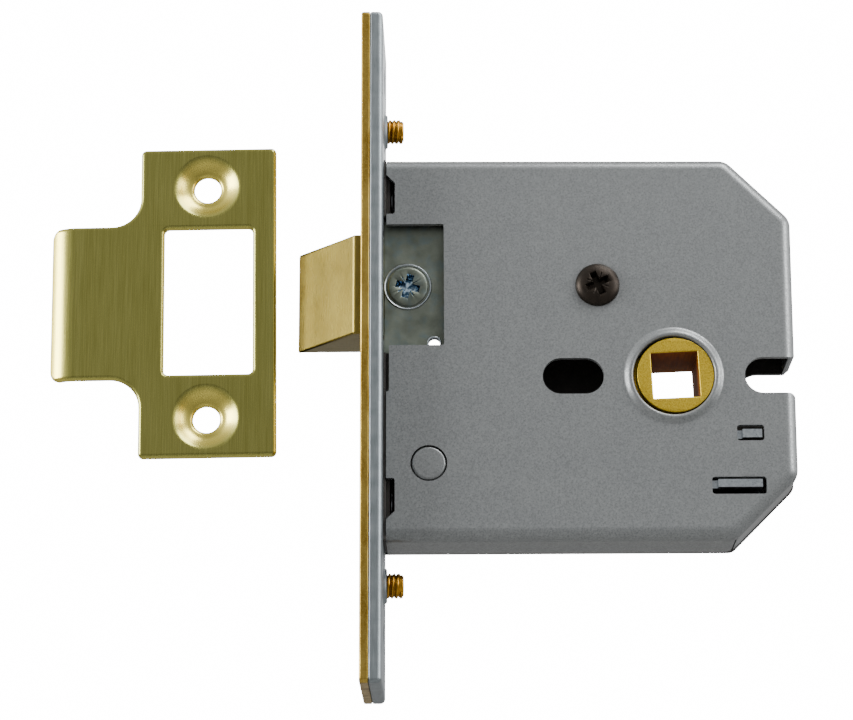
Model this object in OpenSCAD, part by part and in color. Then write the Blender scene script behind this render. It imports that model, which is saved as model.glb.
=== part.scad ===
// Upright mortise latch with its box keep (strike plate).
// Origin: centre of the outer face of the forend.
// +X runs into the door, +Z up along the forend, -Y is the side the fixings face.

/* [Forend] */
// height of both forend plates
forend_h = 126; // [120:1:150]
// width of both forend plates
forend_w = 25; // [23:0.5:32]
// thickness of the brass finishing plate
outer_t = 1.6; // [1.4:0.1:1.8]
// thickness of the steel plate that carries the case
inner_t = 2.4; // [2:0.1:2.6]
// radius on the four corners of both plates
forend_corner_r = 0.9; // [0.4:0.1:2]
// distance between the two machine screws that hold the brass plate
plate_screw_spacing = 87; // [84:0.5:90]
// distance between the two wood screw holes
wood_screw_spacing = 107; // [104:0.5:109]
// diameter of the wood screw holes
wood_hole_d = 4.8; // [4:0.1:5.2]
// distance between the two rivets that join the forend to the case
rivet_spacing = 58.6; // [57:0.2:60]

/* [Case] */
// depth from the outer face of the forend to the rear of the case
case_d = 79; // [79:0.5:90]
// outside thickness of the case
case_w = 13; // [12.9:0.1:14.5]
// top of the case above the middle of the forend
case_top = 35; // [34.5:0.5:38]
// bottom of the case below the middle of the forend
case_bottom = 36.5; // [36:0.5:39]
// thickness of the case sheets
sheet_t = 1.2; // [1:0.1:1.3]
// size of the 45 degree cuts on the two rear corners
case_chamfer = 11.6; // [9:0.2:12.6]
// distance from the forend face to the follower centre
backset = 57; // [56:0.5:58]
// follower centre below the middle of the forend
hub_drop = 6.2; // [5.8:0.1:6.6]

/* [Bolt through openings] */
// distance from the follower to the centre of the closed slot
slot_offset = 18.5; // [18:0.1:19]
// length of the closed slot
slot_l = 11.1; // [9:0.1:12]
// width of the closed slot and of the open rear notch
bolt_slot_w = 6.7; // [6:0.1:7]
// distance from the follower to the round end of the rear notch
notch_reach = 12.6; // [12.2:0.1:14]

/* [Latch] */
// latch bolt centre above the follower centre
latch_rise = 17.8; // [17.4:0.1:18]
// height of the latch bolt
latch_h = 19; // [17:0.1:19]
// thickness of the latch bolt
latch_w = 12.8; // [12:0.1:12.9]
// distance the latch bolt stands out of the forend
latch_throw = 12; // [11.8:0.1:12.4]
// distance the latch bolt is drawn back by the follower
latch_travel = 11.7; // [11:0.1:11.7]
// straight part of the latch bolt in front of the forend
latch_neck = 1.4; // [0.8:0.1:2]
// height of the spring, its guide rod and the case screw above the follower
spring_rise = 17.2; // [17:0.1:17.6]
// distance from the forend face to the case screw
pillar_x = 43.2; // [43:0.1:43.6]

/* [Follower] */
// side of the square spindle hole
spindle_hole = 8.3; // [8.1:0.05:8.4]
// diameter of the follower bearings
follower_d = 14; // [13.6:0.1:14]
// running clearance of the follower bearings, on the radius
bearing_clearance = 0.08; // [0.04:0.01:0.1]
// turn of the follower that draws the latch fully back, degrees
follower_turn = 37.66; // [35:0.01:38]

/* [Strike plate] */
// width of the flat of the strike plate
strike_w = 25.2; // [24:0.2:28]
// height of the strike plate
strike_h = 60.5; // [58:0.5:66]
// reach of the lip beyond the flat
lip_reach = 17.5; // [14:0.5:20]
// height of the lip
lip_h = 30; // [28:0.5:31]
// thickness of the strike plate
strike_t = 1.5; // [1.3:0.1:1.6]
// distance between the screw holes of the strike plate
strike_hole_spacing = 45.2; // [44.6:0.2:47]
// diameter of the screw holes of the strike plate
strike_hole_d = 5.1; // [4.6:0.1:5.2]

/* [Hidden] */
$fn = 72;
forend_t = outer_t + inner_t;
case_front = -case_w / 2;
case_back = case_w / 2;
sheet_in_front = case_front + sheet_t;
sheet_in_back = case_back - sheet_t;
case_left = forend_t + 0.55;
hub_z = -hub_drop;
latch_z = hub_z + latch_rise;
spring_z = hub_z + spring_rise;
chamfer_inset = 2 - sqrt(2);
part_gap = 0.05;
side_gap = 0.35;

// latch bolt and its inner parts
shank_front = -2.75;
shank_back = 4.5;
shank_h = 15;
shoulder_x = forend_t - 0.85;
shank_end = 16;
tail_t = 1.5;
tail_front = shank_front - part_gap - tail_t;
tail_start = forend_t + 0.35;
tail_wide_h = 25.6;
tail_wide_end = 15.9;
tail_narrow_h = 15;
tail_taper = 2.6;
latch_screw_x = 8.6;
latch_screw_head_r = 4.3;
latch_screw_head_t = 0.75;
latch_screw_shank_r = 2;
latch_screw_seat = 0.3;
rod_r = 1.5;
rod_start = 11.5;
rod_end = 38;
spring_y = 1.2;
pillar_r = 3.5;
pillar_bore_r = 1.85;

// spring coils
wire_r = 0.4;
joint_swell = 0.02;
latch_coil_r = 2.7;
latch_coil_turns = 8;
follower_coil_r = 2.9;
follower_coil_turns = 8;

// follower arm: the involute flank gives the latch a steady travel per degree
arm_t = 3.2;
arm_half_w = 3;
arm_ring_r = 10;
arm_tail_l = 17;
drive_gap = 0.3;
stop_gap = 0.3;
drive_x = backset + arm_half_w + drive_gap;
lug_t = 1.5;
lug_h = 9;
hub_key_r = 8.4;
hub_collar_r = 9;
follower_r = follower_d / 2;
hub_hole_r = follower_r + bearing_clearance;
follower_spring_drop = 13;
stop_x = backset + arm_half_w + stop_gap;
anchor_x = 31;
anchor_l = 2.6;
anchor_h = 8;
anchor_spigot_r = 1.9;
anchor_spigot_l = 3.4;

// openings of the case face
window_rear = 15.1;
window_top = 23;
window_bottom = -0.2;
rivet_notch_x = forend_t + 2.1;
rivet_notch_in = 25.05;
rivet_notch_out = 31.1;
rivet_notch_end = 33;
edge_notch_depth = 0.45;
edge_notch_top = -2.6;
edge_notch_bottom = -8.9;
upper_slot = [67.8, 72.7, -18.45, -15.56];
lower_slot = [63.05, 72.8, -28.3, -25.15];
upper_tab = [68.8, 72.3, -17.85, -16.3];
lower_tab = [64.15, 72.1, -27, -25.55];
post_x = 12.25;
post_z = -22.3;
post_r = 3.15;
post_body_r = 3.7;
lip_ring_h = 0.55;
lip_ring_r = 9.1;

// forend screws and rivets
plate_screw_r = 2.35;
plate_screw_head_r = 4.1;
plate_screw_end = 7.65;
thread_root_r = 1.95;
thread_pitch = 0.8;
collar_r = 3.5;
collar_h = 0.6;
rivet_r = 1.9;
rivet_head_r = 3;
rivet_head_h = 1.1;
wood_csk_r = 4.6;
flange_t = 1.2;

// strike plate
strike_x = -29.3;
strike_z = 12.4;
strike_front = 6;
strike_window_w = 17.6;
strike_window_h = 28.6;
window_offset_x = -0.15;
window_corner_r = 1;
dish_r = 5.9;
dish_depth = 1.3;
lip_fillet_r = 5.5;
lip_corner_r = 2.2;
strike_corner_r = 1;
curl_r = 5;
curl_angle = 50;
curl_run = (curl_r + strike_t) * sin(curl_angle);

// flat profile drawn in X and Z, given thickness t from y0 towards +Y
module slab_y(y0, t) {
    translate([0, y0 + t, 0])
        rotate([90, 0, 0])
            linear_extrude(height = t)
                children();
}

// flat profile drawn in Y and Z, given thickness t from x0 towards +X
module slab_x(x0, t) {
    translate([x0, 0, 0])
        rotate([90, 0, 90])
            linear_extrude(height = t)
                children();
}

module rod_y(y0, l, r) {
    translate([0, y0 + l, 0])
        rotate([90, 0, 0])
            cylinder(h = l, r = r);
}

module rod_x(x0, l, r) {
    translate([x0, 0, 0])
        rotate([0, 90, 0])
            cylinder(h = l, r = r);
}

// profile drawn as [radius, distance along X] turned about the X axis
module turned_x() {
    rotate([0, 90, 0])
        rotate_extrude()
            children();
}

// profile drawn as [radius, distance towards -Y] turned about the Y axis
module turned_y() {
    rotate([90, 0, 0])
        rotate_extrude()
            children();
}

// box between two corners
module block(low, high) {
    translate(low)
        cube(high - low);
}

// rectangle w by h about the origin with round corners
module round_rect(w, h, r) {
    union() {
        square([w - 2 * r, h], center = true);
        square([w, h - 2 * r], center = true);
        for (sx = [-1, 1])
            for (sz = [-1, 1])
                translate([sx * (w / 2 - r), sz * (h / 2 - r)])
                    circle(r = r);
    }
}

module obround(l, w) {
    union() {
        square([l - w, w], center = true);
        for (s = [-1, 1])
            translate([s * (l - w) / 2, 0])
                circle(r = w / 2);
    }
}

// forend plate with the latch opening and the wood screw holes
module forend_plate(x0, t) {
    difference() {
        slab_x(x0, t)
            round_rect(forend_w, forend_h, forend_corner_r);
        block([x0 - 1, -latch_w / 2 - side_gap, latch_z - latch_h / 2 - side_gap],
            [x0 + t + 1, latch_w / 2 + side_gap, latch_z + latch_h / 2 + side_gap]);
        for (s = [-1, 1])
            translate([0, 0, s * wood_screw_spacing / 2])
                rod_x(x0 - 1, t + 2, wood_hole_d / 2);
    }
}

module outer_forend() {
    color([0.66, 0.57, 0.29])
        difference() {
            forend_plate(0, outer_t);
            for (s = [-1, 1]) {
                translate([0, 0, s * wood_screw_spacing / 2])
                    turned_x()
                        polygon([[0, -0.5], [wood_csk_r, -0.5], [wood_csk_r, 0],
                            [wood_hole_d / 2 + 0.05, outer_t], [0, outer_t]]);
                translate([0, 0, s * plate_screw_spacing / 2])
                    turned_x()
                        polygon([[0, -0.5], [plate_screw_head_r + part_gap, -0.5],
                            [plate_screw_head_r + part_gap, 0.3],
                            [plate_screw_r + part_gap, outer_t - 0.1],
                            [plate_screw_r + part_gap, outer_t + 0.5], [0, outer_t + 0.5]]);
            }
        }
}

module inner_forend() {
    color([0.6, 0.63, 0.63])
        difference() {
            union() {
                forend_plate(outer_t, inner_t);
                for (s = [-1, 1])
                    translate([0, 0, s * plate_screw_spacing / 2])
                        rod_x(outer_t + 1, inner_t - 1 + collar_h, collar_r);
            }
            for (s = [-1, 1]) {
                translate([0, 0, s * plate_screw_spacing / 2])
                    rod_x(0, forend_t + 3, plate_screw_r + part_gap);
                translate([0, 0, s * rivet_spacing / 2])
                    rod_x(0, forend_t + 3, rivet_r + part_gap);
            }
        }
}

// countersunk brass machine screw with a ringed thread and a slot
module plate_screw(z) {
    crests = floor((plate_screw_end - forend_t - 0.4) / thread_pitch);
    thread_x = plate_screw_end - crests * thread_pitch;
    color([0.66, 0.48, 0.15])
        translate([0, 0, z])
            difference() {
                turned_x()
                    polygon(concat(
                        [[0, 0.05], [plate_screw_head_r, 0.05], [plate_screw_head_r, 0.3],
                            [plate_screw_r, outer_t - 0.1], [plate_screw_r, thread_x]],
                        [for (i = [0:crests - 1]) for (k = [0, 1, 2])
                            [k == 1 ? plate_screw_r : thread_root_r,
                                thread_x + (i + 0.1 + 0.4 * k) * thread_pitch]],
                        [[0, plate_screw_end]]));
                block([-0.5, -0.55, -plate_screw_head_r - 1],
                    [0.85, 0.55, plate_screw_head_r + 1]);
            }
}

module plate_screw_upper() {
    plate_screw(plate_screw_spacing / 2);
}

module plate_screw_lower() {
    plate_screw(-plate_screw_spacing / 2);
}

// rivet through the steel forend and the flange of the case cover
module forend_rivet(z) {
    color([0.72, 0.74, 0.75])
        translate([0, 0, z])
            turned_x()
                polygon([[0, outer_t + part_gap], [rivet_r, outer_t + part_gap],
                    [rivet_r, forend_t + part_gap + flange_t + part_gap],
                    [rivet_head_r, forend_t + part_gap + flange_t + part_gap],
                    [rivet_head_r, forend_t + flange_t + 0.6],
                    [rivet_head_r - 0.8, forend_t + flange_t + rivet_head_h],
                    [0, forend_t + flange_t + rivet_head_h]]);
}

module forend_rivet_upper() {
    forend_rivet(rivet_spacing / 2);
}

module forend_rivet_lower() {
    forend_rivet(-rivet_spacing / 2);
}

// outline of the case seen from the side, drawn in by the given amount
module case_outline(inset, left) {
    right = case_d - inset;
    top = case_top - inset;
    bottom = -case_bottom + inset;
    cut = case_chamfer - inset * chamfer_inset;
    polygon([[left, bottom], [right - cut, bottom], [right, bottom + cut],
        [right, top - cut], [right - cut, top], [left, top]]);
}

// rear notch for the second through bolt, open towards +X
module rear_notch() {
    translate([backset + notch_reach + bolt_slot_w / 2, hub_z])
        union() {
            circle(r = bolt_slot_w / 2);
            translate([0, -bolt_slot_w / 2])
                square([case_d, bolt_slot_w]);
        }
}

module window_opening() {
    translate([0, window_bottom])
        square([window_rear, window_top - window_bottom]);
}

// clearance for the forend rivet, with a sloping outer end
module rivet_notch() {
    slope = rivet_notch_end - rivet_notch_out;
    polygon([[0, rivet_notch_in], [rivet_notch_x, rivet_notch_in],
        [rivet_notch_x, rivet_notch_out], [rivet_notch_x - slope, rivet_notch_end],
        [0, rivet_notch_end]]);
}

module slot_rect(s) {
    translate([s[0], s[2]])
        square([s[1] - s[0], s[3] - s[2]]);
}

module face_openings() {
    union() {
        window_opening();
        rear_notch();
        rivet_notch();
        mirror([0, 1])
            rivet_notch();
        translate([0, edge_notch_bottom])
            square([case_left + edge_notch_depth, edge_notch_top - edge_notch_bottom]);
        translate([backset - slot_offset, hub_z])
            obround(slot_l, bolt_slot_w);
        slot_rect(upper_slot);
        slot_rect(lower_slot);
        translate([backset, hub_z])
            circle(r = hub_hole_r);
        translate([post_x, post_z])
            circle(r = post_r + part_gap);
        translate([pillar_x, spring_z])
            circle(r = latch_screw_shank_r + part_gap);
    }
}

// thin seam where two bent flanges meet at a corner
module flange_seam(x, z, turn) {
    translate([x, 0, z])
        rotate([0, turn, 0])
            block([-0.25, sheet_in_front + 1, -2.5], [0.25, case_back + 1, 2.5]);
}

// raised rim around the follower hole, standing out of the sheet towards -Y
module rim_ring(y_face) {
    translate([backset, y_face, hub_z])
        turned_y()
            polygon([[hub_hole_r, -sheet_t / 2], [lip_ring_r, -sheet_t / 2], [lip_ring_r, 0],
                [lip_ring_r - 0.5, lip_ring_h], [hub_hole_r, lip_ring_h]]);
}

// face sheet with bent top, bottom and rear flanges
module case_body() {
    color([0.52, 0.53, 0.54])
        difference() {
            union() {
                difference() {
                    slab_y(case_front, case_w - sheet_t - part_gap)
                        case_outline(0, case_left);
                    slab_y(sheet_in_front, case_w)
                        case_outline(sheet_t, case_left - 1);
                }
                rim_ring(case_front);
            }
            slab_y(case_front - 1, sheet_t + 1.5)
                face_openings();
            slab_y(case_front - 1, case_w + 2)
                rear_notch();
            flange_seam(case_d - case_chamfer, case_top, 22.5);
            flange_seam(case_d, case_top - case_chamfer, 67.5);
            flange_seam(case_d - case_chamfer, -case_bottom, -22.5);
            flange_seam(case_d, -case_bottom + case_chamfer, -67.5);
        }
}

// back sheet with the front flange that is riveted to the forend
module case_cover() {
    flange_x = forend_t + part_gap;
    flange_gap = tail_wide_h / 2 + 0.7;
    color([0.5, 0.51, 0.52])
        difference() {
            union() {
                slab_y(sheet_in_back, sheet_t)
                    case_outline(0, flange_x);
                block([flange_x, sheet_in_front + part_gap, latch_z + flange_gap],
                    [flange_x + flange_t, case_back, case_top - sheet_t - part_gap]);
                block([flange_x, sheet_in_front + part_gap, -case_bottom + sheet_t + part_gap],
                    [flange_x + flange_t, case_back, latch_z - flange_gap]);
                translate([2 * backset, 0, 0])
                    rotate([0, 0, 180])
                        rim_ring(-case_back);
            }
            slab_y(sheet_in_back - 1, sheet_t + 2)
                union() {
                    window_opening();
                    rear_notch();
                    translate([backset, hub_z])
                        circle(r = hub_hole_r);
                    translate([post_x, post_z])
                        circle(r = post_r + part_gap);
                    translate([pillar_x, spring_z])
                        circle(r = latch_screw_shank_r + part_gap);
                }
            for (s = [-1, 1])
                translate([0, 0, s * rivet_spacing / 2])
                    rod_x(forend_t - 1, 4, rivet_r + part_gap);
        }
}

// turned pillar between the sheets, cross drilled for the spring guide
module case_pillar() {
    front = sheet_in_front + part_gap;
    back = sheet_in_back - part_gap;
    color([0.62, 0.63, 0.6])
        translate([pillar_x, 0, spring_z])
            difference() {
                union() {
                    rod_y(front, back - front, pillar_r);
                    rod_y(0, case_back, latch_screw_shank_r);
                }
                rod_y(front - 1, sheet_t + 4.2, latch_screw_shank_r);
                translate([0, spring_y, 0])
                    rod_x(-pillar_r - 1, 2 * pillar_r + 2, pillar_bore_r);
            }
}

// cross shaped driver recess, sunk towards +Y from y0
module driver_recess(y0, depth, arm) {
    for (a = [0, 90])
        rotate([0, a, 0])
            block([-arm, y0 - 2, -0.5], [arm, y0 + depth, 0.5]);
    for (a = [45, 135])
        rotate([0, a, 0])
            block([-arm * 0.6, y0 - 2, -0.3], [arm * 0.6, y0 + depth * 0.5, 0.3]);
}

// black raised screw through the face sheet into the pillar
module case_screw() {
    head_r = 4.05;
    head_h = 1.7;
    dome_r = 6.4;
    seat = case_front - part_gap;
    color([0.15, 0.14, 0.13])
        translate([pillar_x, 0, spring_z])
            difference() {
                union() {
                    intersection() {
                        rod_y(seat - head_h - 1, head_h + 1, head_r);
                        translate([0, seat - head_h + dome_r, 0])
                            sphere(r = dome_r);
                    }
                    rod_y(seat - 0.2, sheet_t + 3.4, latch_screw_shank_r - part_gap);
                }
                driver_recess(seat - head_h, 1.1, 2.1);
            }
}

// shouldered spacer rivet whose ends are flush with both sheets
module case_rivet() {
    color([0.55, 0.56, 0.56])
        translate([post_x, 0, post_z])
            union() {
                rod_y(case_front + part_gap, case_w - 2 * part_gap, post_r);
                rod_y(sheet_in_front + part_gap, case_w - 2 * sheet_t - 2 * part_gap,
                    post_body_r);
            }
}

// bevelled brass bolt with a thinner shank behind the shoulder
module latch_head() {
    tip = -latch_throw;
    half = latch_w / 2;
    color([0.71, 0.63, 0.42])
        difference() {
            union() {
                translate([0, 0, latch_z - latch_h / 2])
                    linear_extrude(height = latch_h)
                        polygon([[tip, half], [tip, half - 0.9], [-latch_neck, -half],
                            [shoulder_x, -half], [shoulder_x, half]]);
                block([0, shank_front, latch_z - shank_h / 2],
                    [shank_end, shank_back, latch_z + shank_h / 2]);
            }
            translate([latch_screw_x, 0, latch_z])
                rod_y(shank_front - 1, 5.2, latch_screw_shank_r + part_gap);
            translate([0, spring_y, spring_z])
                rod_x(rod_start - 0.2, shank_end, rod_r + part_gap);
        }
}

// flat tail with the slot that runs on the pillar and the lug the arm pushes
module latch_tail() {
    slot_w = 2 * pillar_r + 2 * drive_gap;
    slot_start = pillar_x - latch_travel - pillar_r - drive_gap;
    slot_end = pillar_x + pillar_r + drive_gap;
    wide = tail_wide_h / 2;
    narrow = tail_narrow_h / 2;
    color([0.44, 0.46, 0.42])
        difference() {
            union() {
                slab_y(tail_front, tail_t)
                    polygon([[tail_start, latch_z - wide], [tail_wide_end, latch_z - wide],
                        [tail_wide_end + tail_taper, latch_z - narrow],
                        [drive_x + lug_t, latch_z - narrow], [drive_x + lug_t, latch_z + narrow],
                        [tail_wide_end + tail_taper, latch_z + narrow],
                        [tail_wide_end, latch_z + wide], [tail_start, latch_z + wide]]);
                block([drive_x, tail_front, latch_z - lug_h / 2],
                    [drive_x + lug_t, arm_t / 2 + 0.4, latch_z + lug_h / 2]);
            }
            translate([(slot_start + slot_end) / 2, 0, spring_z])
                slab_y(tail_front - 1, tail_t + 2)
                    obround(slot_end - slot_start, slot_w);
            translate([latch_screw_x, 0, latch_z]) {
                rod_y(tail_front - 1, tail_t + 2, latch_screw_shank_r + part_gap);
                rod_y(tail_front - 1, 1 + latch_screw_seat, latch_screw_head_r + part_gap);
            }
            translate([13.3, 0, 0.75])
                rod_y(tail_front - 1, tail_t + 2, 1.05);
        }
}

// zinc plated screw that joins the tail to the shank
module latch_screw() {
    seat = tail_front + latch_screw_seat - part_gap / 2;
    color([0.6, 0.62, 0.6])
        translate([latch_screw_x, 0, latch_z])
            difference() {
                union() {
                    rod_y(seat - latch_screw_head_t, latch_screw_head_t, latch_screw_head_r);
                    rod_y(seat - 0.1, 5, latch_screw_shank_r);
                }
                driver_recess(seat - latch_screw_head_t, 1.3, 2.2);
            }
}

// steel rod that keeps the latch spring straight
module spring_guide() {
    color([0.64, 0.65, 0.66])
        translate([0, spring_y, spring_z])
            rod_x(rod_start, rod_end - rod_start, rod_r);
}

// coil along X made of half turns; each is tilted about its ends so that it meets the next
module helix_x(x0, l, coil_r, turns) {
    pitch = (l - 2 * wire_r) / (turns + 0.5);
    tilt = asin(pitch / 4 / coil_r);
    translate([x0 + wire_r, 0, 0])
        rotate([0, 90, 0])
            union() {
                for (i = [0:2 * turns])
                    translate([0, 0, (i + 0.5) * pitch / 2])
                        rotate([0, 0, 180 * i])
                            rotate([0, tilt, 0])
                                rotate_extrude(angle = 180, $fn = 40)
                                    translate([coil_r, 0])
                                        circle(r = wire_r, $fn = 16);
                for (i = [0:2 * turns + 1])
                    rotate([0, 0, 180 * i])
                        translate([coil_r * cos(tilt), 0, i * pitch / 2])
                            sphere(r = wire_r + joint_swell, $fn = 24);
            }
}

module latch_spring() {
    color([0.7, 0.71, 0.72])
        translate([0, spring_y, spring_z])
            helix_x(shank_end + 0.05, pillar_x - pillar_r - shank_end - 0.2, latch_coil_r,
                latch_coil_turns);
}

// brass hub with a square hole, an eight sided key and a thrust collar
module follower() {
    color([0.75, 0.66, 0.24])
        translate([backset, 0, hub_z])
            difference() {
                union() {
                    rod_y(case_front, case_w, follower_r);
                    translate([0, arm_t / 2, 0])
                        rotate([90, 22.5, 0])
                            cylinder(h = arm_t, r = hub_key_r, $fn = 8);
                    rod_y(arm_t / 2 + part_gap, sheet_in_back - arm_t / 2 - 0.35, hub_collar_r);
                }
                block([-spindle_hole / 2, -case_w, -spindle_hole / 2],
                    [spindle_hole / 2, case_w, spindle_hole / 2]);
            }
}

// steel arm on the hub: involute flank above, stop and spring arm below
module follower_arm() {
    reach = arm_half_w;
    flank = [for (i = [0:12]) let (a = follower_turn * 1.04 * i / 12)
        let (x = reach + latch_rise * a * PI / 180)
            [x * cos(a) - latch_rise * sin(a), x * sin(a) + latch_rise * cos(a)]];
    tip = flank[12];
    color([0.5, 0.5, 0.49])
        translate([backset, 0, hub_z])
            slab_y(-arm_t / 2, arm_t)
                difference() {
                    union() {
                        circle(r = arm_ring_r);
                        polygon(concat([[-arm_half_w, 0], [reach, 0]], flank,
                            [[tip[0] - 2.6, tip[1]], [-arm_half_w, latch_rise]]));
                        translate([-arm_half_w, -arm_tail_l])
                            square([2 * arm_half_w, arm_tail_l]);
                    }
                    rotate([0, 0, 22.5])
                        circle(r = hub_key_r + 2 * part_gap, $fn = 8);
                }
}

// folded stop on the cover; its two tabs show in the slots of the face sheet
module follower_stop() {
    back = sheet_in_back - part_gap;
    front = sheet_in_front + part_gap;
    leg_t = 1.5;
    color([0.6, 0.61, 0.6])
        union() {
            block([stop_x, front, lower_tab[2]], [stop_x + leg_t, back, upper_tab[3]]);
            block([stop_x, front, lower_tab[2]], [lower_tab[1], back, lower_tab[3]]);
            block([stop_x, front, upper_tab[2]], [upper_tab[1], back, upper_tab[3]]);
            block([lower_tab[0], case_front + 0.1, lower_tab[2]],
                [lower_tab[1], front + 1, lower_tab[3]]);
            block([upper_tab[0], case_front + 0.1, upper_tab[2]],
                [upper_tab[1], front + 1, upper_tab[3]]);
        }
}

// block with a spigot that carries the fixed end of the follower spring
module spring_anchor() {
    back = sheet_in_back - part_gap;
    front = sheet_in_front + part_gap;
    z = hub_z - follower_spring_drop;
    color([0.6, 0.61, 0.6])
        union() {
            block([anchor_x, front, z - anchor_h / 2],
                [anchor_x + anchor_l, back, z + anchor_h / 2]);
            translate([0, 0, z])
                rod_x(anchor_x + anchor_l - 0.2, anchor_spigot_l, anchor_spigot_r);
        }
}

module follower_spring() {
    x0 = anchor_x + anchor_l + 0.05;
    color([0.7, 0.71, 0.72])
        translate([0, 0, hub_z - follower_spring_drop])
            helix_x(x0, backset - arm_half_w - 0.1 - x0, follower_coil_r, follower_coil_turns);
}

// outline of the strike plate with its lip towards -X, corners filled by fillets
module strike_outline() {
    edge = -strike_w / 2;
    difference() {
        union() {
            round_rect(strike_w, strike_h, strike_corner_r);
            translate([edge - lip_reach / 2 + 1, 0])
                round_rect(lip_reach + 2, lip_h, lip_corner_r);
            for (s = [-1, 1])
                translate([edge - lip_fillet_r, s > 0 ? lip_h / 2 - 0.01 : -lip_h / 2 - lip_fillet_r])
                    square([lip_fillet_r + 0.5, lip_fillet_r + 0.01]);
        }
        for (s = [-1, 1])
            translate([edge - lip_fillet_r, s * (lip_h / 2 + lip_fillet_r)])
                circle(r = lip_fillet_r);
    }
}

// plate with a curled lip, a window for the latch and two dished screw holes
module strike_plate() {
    curl_x = -strike_w / 2 - lip_reach + curl_run;
    hole_r = strike_hole_d / 2;
    color([0.5, 0.48, 0.26])
        translate([strike_x, strike_front, strike_z])
            difference() {
                union() {
                    intersection() {
                        slab_y(-1, curl_r + strike_t + 2)
                            strike_outline();
                        union() {
                            block([curl_x, 0, -strike_h], [strike_w, strike_t, strike_h]);
                            translate([curl_x, curl_r + strike_t, -strike_h])
                                rotate([0, 0, 270 - curl_angle])
                                    rotate_extrude(angle = curl_angle)
                                        translate([curl_r, 0])
                                            square([strike_t, 2 * strike_h]);
                        }
                    }
                    for (s = [-1, 1])
                        translate([0, 0, s * strike_hole_spacing / 2])
                            mirror([0, 1, 0])
                                turned_y()
                                    polygon([[0, strike_t / 2], [dish_r + 0.6, strike_t / 2],
                                        [dish_r + 0.6, strike_t],
                                        [hole_r + 1.2, strike_t + dish_depth - 0.4],
                                        [0, strike_t + dish_depth - 0.4]]);
                }
                for (s = [-1, 1])
                    translate([0, 0, s * strike_hole_spacing / 2])
                        mirror([0, 1, 0])
                            turned_y()
                                polygon([[0, -1], [dish_r, -1], [dish_r, 0], [hole_r, dish_depth],
                                    [hole_r, strike_t + 2], [0, strike_t + 2]]);
                translate([window_offset_x, 0, 0])
                    slab_y(-1, strike_t + 2)
                        round_rect(strike_window_w, strike_window_h, window_corner_r);
            }
}

outer_forend();
inner_forend();
plate_screw_upper();
plate_screw_lower();
forend_rivet_upper();
forend_rivet_lower();
case_body();
case_cover();
case_pillar();
case_screw();
case_rivet();
latch_head();
latch_tail();
latch_screw();
spring_guide();
latch_spring();
follower();
follower_arm();
follower_stop();
spring_anchor();
follower_spring();
strike_plate();
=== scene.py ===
import math
import bmesh
import bpy
from mathutils import Euler, Matrix, Vector
from mathutils.geometry import tessellate_polygon


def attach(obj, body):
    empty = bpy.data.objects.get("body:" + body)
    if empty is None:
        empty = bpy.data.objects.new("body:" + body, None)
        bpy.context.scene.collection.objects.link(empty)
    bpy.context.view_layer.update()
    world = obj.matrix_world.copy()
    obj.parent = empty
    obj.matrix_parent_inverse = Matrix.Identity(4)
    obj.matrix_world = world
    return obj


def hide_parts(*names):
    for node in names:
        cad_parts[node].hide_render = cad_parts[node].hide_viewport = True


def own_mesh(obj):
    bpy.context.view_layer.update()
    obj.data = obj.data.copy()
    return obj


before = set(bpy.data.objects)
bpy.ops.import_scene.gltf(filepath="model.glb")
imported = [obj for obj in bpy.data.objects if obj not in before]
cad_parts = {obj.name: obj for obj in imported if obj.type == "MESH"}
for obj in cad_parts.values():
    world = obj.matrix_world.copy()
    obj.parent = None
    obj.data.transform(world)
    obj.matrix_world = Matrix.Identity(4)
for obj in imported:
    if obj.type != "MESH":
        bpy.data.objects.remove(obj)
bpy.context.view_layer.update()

# ---------------------------------------------------------------------------
# Studio: a pale floor well under the lock, a white tent that is dim in front and
# bright at its sides, and four soft boxes, so that rolled edges catch the light.
# ---------------------------------------------------------------------------
MM = 0.001


def linear(code):
    """sRGB hex to linear colour with alpha."""
    parts = [int(code[i:i + 2], 16) / 255 for i in (1, 3, 5)]
    return [p / 12.92 if p <= 0.04045 else ((p + 0.055) / 1.055) ** 2.4
            for p in parts] + [1.0]


def feed(node, inputs):
    """Each input is a value or the socket that feeds it."""
    for name, value in inputs.items():
        if isinstance(value, bpy.types.NodeSocket):
            node.id_data.links.new(value, node.inputs[name])
        else:
            node.inputs[name].default_value = value


def add(tree, kind, inputs=None, **settings):
    """A node with its settings and links."""
    made = tree.nodes.new(kind)
    for name, value in settings.items():
        setattr(made, name, value)
    feed(made, inputs or {})
    return made


world = bpy.data.worlds.new("light_tent")
bpy.context.scene.world = world
world.use_nodes = True
tent = world.node_tree
tent.nodes.clear()
tent_way = add(tent, "ShaderNodeTexCoord").outputs["Generated"]
# how far a direction points to the front of the tent: 0 behind, 0.5 at the sides, 1 in front
tent_front = add(tent, "ShaderNodeVectorMath", {0: tent_way, 1: (0.0, -1.0, 0.0)},
                 operation="DOT_PRODUCT").outputs["Value"]
tent_place = add(tent, "ShaderNodeMapRange", {"Value": tent_front, "From Min": -1.0})
tent_wall = add(tent, "ShaderNodeValToRGB", {0: tent_place.outputs[0]})
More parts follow.
